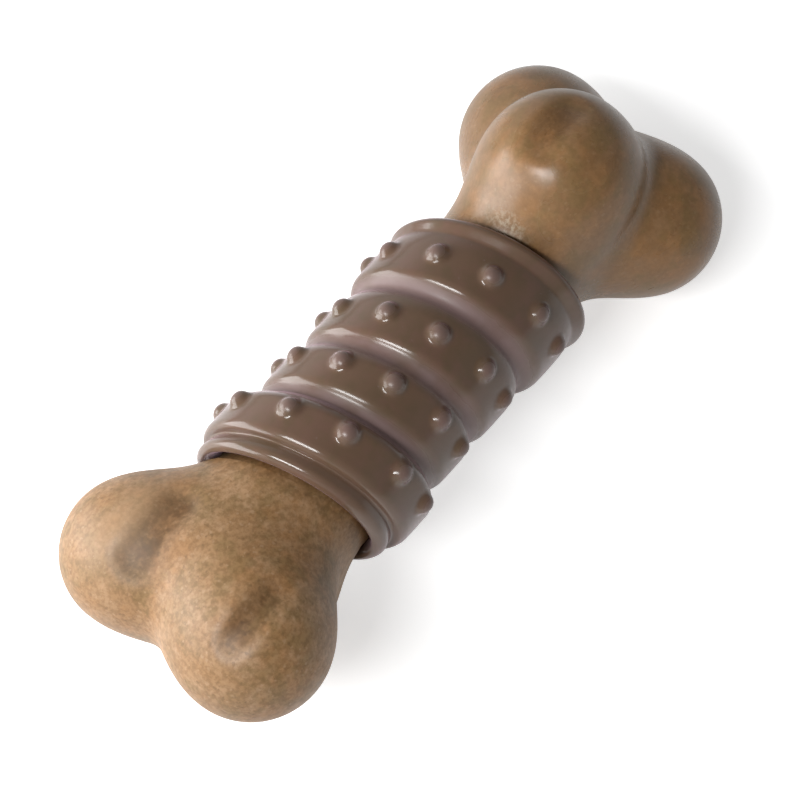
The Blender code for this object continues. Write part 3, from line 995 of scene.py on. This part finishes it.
def core_geometry(scene):
    """The core's shape, its rings and tips in its own frame, and the shift that centres it."""
    core = CoreShape(scene.toy_core)
    rings, tips = core_rings(core, scene.toy_core, scene.toy_sleeve)
    everything = np.concatenate((rings.reshape(-1, 3), tips))
    _placed, shift = lay_down(everything, core)
    return core, rings, tips, shift


class TOY_OT_core(bpy.types.Operator):
    """Make the flecked composite core with its flowing knobs and lengthwise hollows"""

    bl_idname = "toy.core"
    bl_label = "Make Core"

    def execute(self, context):
        core, rings, tips, shift = core_geometry(context.scene)
        local = np.concatenate((rings.reshape(-1, 3), tips))
        near_rim, far_rim = sleeve_rims(context.scene.toy_sleeve)
        mesh = ring_mesh("composite_core", lay_down(rings, core, shift)[0], lay_down(tips, core, shift)[0])
        # Painted shade in each hollow, darkest in its floor.
        painted_shade = sum(share * most for share, most in zip(core.hollow_shares(local), HOLLOW_SHADES))
        mark_points(mesh, "painted_shade", np.clip(painted_shade, 0, 1))
        # Marks for the scuff patch, whose glints are painted, and for the painted sheen on a lit knob.
        for name, (middle, reach) in PATCHES.items():
            mark_points(mesh, name, np.exp(-(((local - middle) / reach) ** 2).sum(axis=1)))
        # Painted shade on the core beside the sleeve's rims, fading away from them.
        place = ring_place(local)
        past = np.maximum(place - far_rim, near_rim - place)
        mark_points(mesh, "rim", 1 - smooth_step(past / RIM_SHADE_REACH))
        material = composite_material(context.scene.toy_core)
        place_piece("composite_core", mesh, material, "bone_core")
        return {"FINISHED"}


class TOY_OT_sleeve(bpy.types.Operator):
    """Make the banded rubber sleeve with its rolled lips and moulded studs"""

    bl_idname = "toy.sleeve"
    bl_label = "Make Sleeve"

    def execute(self, context):
        core, _rings, _tips, shift = core_geometry(context.scene)
        core_settings, settings = context.scene.toy_core, context.scene.toy_sleeve
        angles = np.linspace(0, 2 * math.pi, SLEEVE_SEGMENTS, endpoint=False)
        outline, valleys = outside_outline(settings)
        outside = rounded_outline(outline, valleys, OUTSIDE_STEP)
        inside = even_points(inside_outline(core_settings, settings), INSIDE_STEP)
        outer, raised = raise_studs(slanted(outside[:, :1], outside[:, 1:], angles), settings)
        inner = slanted(inside[:, :1], inside[:, 1:], angles)
        rings = lay_down(np.concatenate((outer, inner)), core, shift)[0]
        mesh = ring_mesh("studded_sleeve", rings[::-1], closed=True)
        # Marks for the painted reflection near the valleys and, by how far up each stud a point lies, the
        # painted highlight on the stud tops.
        valley_sheen = np.exp(-((gap_to_nearest(outside[:, 0], valleys) / SHEEN_REACH) ** 4))
        for name, values in (("valley", valley_sheen[:, None]), ("stud", raised)):
            marks = np.zeros(rings.shape[:2])
            marks[: len(outside)] = values
            mark_points(mesh, name, marks[::-1])
        place_piece("studded_sleeve", mesh, rubber_material(settings), "rubber_sleeve")
        return {"FINISHED"}


def floor_material(settings):
    """Plain pale floor that shows white to the camera and in gloss, and keeps the toy's shadow."""
    material, tree, shader, _place = new_material("pale floor", settings.floor_colour)
    shader.inputs["Base Color"].default_value = (*settings.floor_colour, 1)
    shader.inputs["Roughness"].default_value = 0.9
    rays = add_node(tree, "ShaderNodeLightPath").outputs
    in_gloss = times(tree, rays["Is Glossy Ray"], FLOOR_GLOSS_SHARE)
    seen = math_node(tree, "MAXIMUM", rays["Is Camera Ray"], in_gloss)
    shader.inputs["Emission Color"].default_value = (1, 1, 1, 1)
    tree.links.new(times(tree, seen, FLOOR_GLOW), shader.inputs["Emission Strength"])
    return material


def even_sky(settings):
    """White to the camera, dimmer on the toy's darker side, and in gloss dimmer overhead too."""
    world = bpy.data.worlds.new("even sky")
    world.use_nodes = True
    tree = world.node_tree
    tree.nodes.clear()
    rays = add_node(tree, "ShaderNodeLightPath").outputs
    direction = add_node(tree, "ShaderNodeTexCoord").outputs["Generated"]
    height = add_node(tree, "ShaderNodeSeparateXYZ", {0: direction}).outputs[2]
    side = add_node(tree, "ShaderNodeVectorMath", {0: direction, 1: BRIGHT_SIDE}, operation="DOT_PRODUCT")
    side = step_range(tree, side.outputs["Value"], -SKY_TURNOVER, SKY_TURNOVER, settings.dark_side, 1.0)
    gloss = step_range(tree, height, GLOSS_HORIZON, GLOSS_OVERHEAD, 1.0, settings.zenith_gloss)
    gloss = times(tree, times(tree, gloss, side), rays["Is Glossy Ray"])
    plain = step_range(tree, rays["Is Glossy Ray"], 0.0, 1.0, settings.sky_strength, 0.0)
    both = math_node(tree, "ADD", gloss, times(tree, plain, side))
    strength = math_node(tree, "MAXIMUM", both, rays["Is Camera Ray"])
    sky = add_node(tree, "ShaderNodeBackground", {"Color": (1, 1, 1, 1), "Strength": strength})
    add_node(tree, "ShaderNodeOutputWorld", {"Surface": sky.outputs[0]})
    return world


def aim(place, target):
    """Turn that points a lamp's -Z at a target and keeps its Y side as close to the world's Y as it goes."""
    back = (place - Vector(target)).normalized()
    across = Vector((0, 1, 0)).cross(back).normalized()
    return Matrix((across, back.cross(across), back)).transposed().to_quaternion()


class TOY_OT_stage(bpy.types.Operator):
    """Set up the pale floor, the soft lamps, the even sky and the camera"""

    bl_idname = "toy.stage"
    bl_label = "Set Up Stage"

    def execute(self, context):
        scene, settings = context.scene, context.scene.toy_studio
        scene.view_settings.view_transform = "Standard"
        half = FLOOR_SIZE / 2
        corners = [(-half, -half, 0), (half, -half, 0), (half, half, 0), (-half, half, 0)]
        mesh = bpy.data.meshes.new("floor")
        mesh.from_pydata(corners, [], [(0, 1, 2, 3)])
        mesh.materials.append(floor_material(settings))
        floor = bpy.data.objects.new("floor", mesh)
        scene.collection.objects.link(floor)
        scene.world = even_sky(settings)
        lens = bpy.data.cameras.new("camera")
        lens.lens = CAMERA_LENS
        lens.sensor_width = SENSOR_WIDTH
        lens.clip_start = 0.01
        camera = bpy.data.objects.new("camera", lens)
        camera.location = CAMERA_PLACE
        camera.rotation_euler = Euler([math.radians(turn) for turn in CAMERA_TURN])
        scene.collection.objects.link(camera)
        scene.camera = camera

        for name, direction, distance, size, power in LAMPS:
            lamp = bpy.data.lights.new(name, "AREA")
            lamp.shape = "RECTANGLE"
            lamp.size, lamp.size_y = size
            lamp.energy = power
            light = bpy.data.objects.new(name, lamp)
            light.location = Vector(TOY_MIDDLE) + Vector(direction).normalized() * distance
            light.rotation_mode = "QUATERNION"
            light.rotation_quaternion = aim(light.location, TOY_MIDDLE)
            scene.collection.objects.link(light)
        return {"FINISHED"}


class TOY_PT_panel(bpy.types.Panel):
    """Lists the steps and the settings of the chew toy"""

    bl_idname = "TOY_PT_panel"
    bl_label = "Chew Toy"
    bl_space_type = "VIEW_3D"
    bl_region_type = "UI"
    bl_category = "Chew Toy"

    def draw(self, context):
        layout, scene = self.layout, context.scene
        for operator, settings in (
            (TOY_OT_stage, scene.toy_studio),
            (TOY_OT_core, scene.toy_core),
            (TOY_OT_sleeve, scene.toy_sleeve),
        ):
            layout.operator(operator.bl_idname)
            for name in settings.__annotations__:
                layout.prop(settings, name)


CLASSES = (
    CoreSettings,
    SleeveSettings,
    StudioSettings,
    TOY_OT_stage,
    TOY_OT_core,
    TOY_OT_sleeve,
    TOY_PT_panel,
)


def register():
    for item in CLASSES:
        bpy.utils.register_class(item)
    bpy.types.Scene.toy_core = PointerProperty(type=CoreSettings)
    bpy.types.Scene.toy_sleeve = PointerProperty(type=SleeveSettings)
    bpy.types.Scene.toy_studio = PointerProperty(type=StudioSettings)


def unregister():
    del bpy.types.Scene.toy_core
    del bpy.types.Scene.toy_sleeve
    del bpy.types.Scene.toy_studio
    for item in reversed(CLASSES):
        bpy.utils.unregister_class(item)


def main():
    register()
    bpy.ops.toy.stage()
    bpy.ops.toy.core()
    bpy.ops.toy.sleeve()
    bpy.context.view_layer.update()


if __name__ == "__main__":
    main()
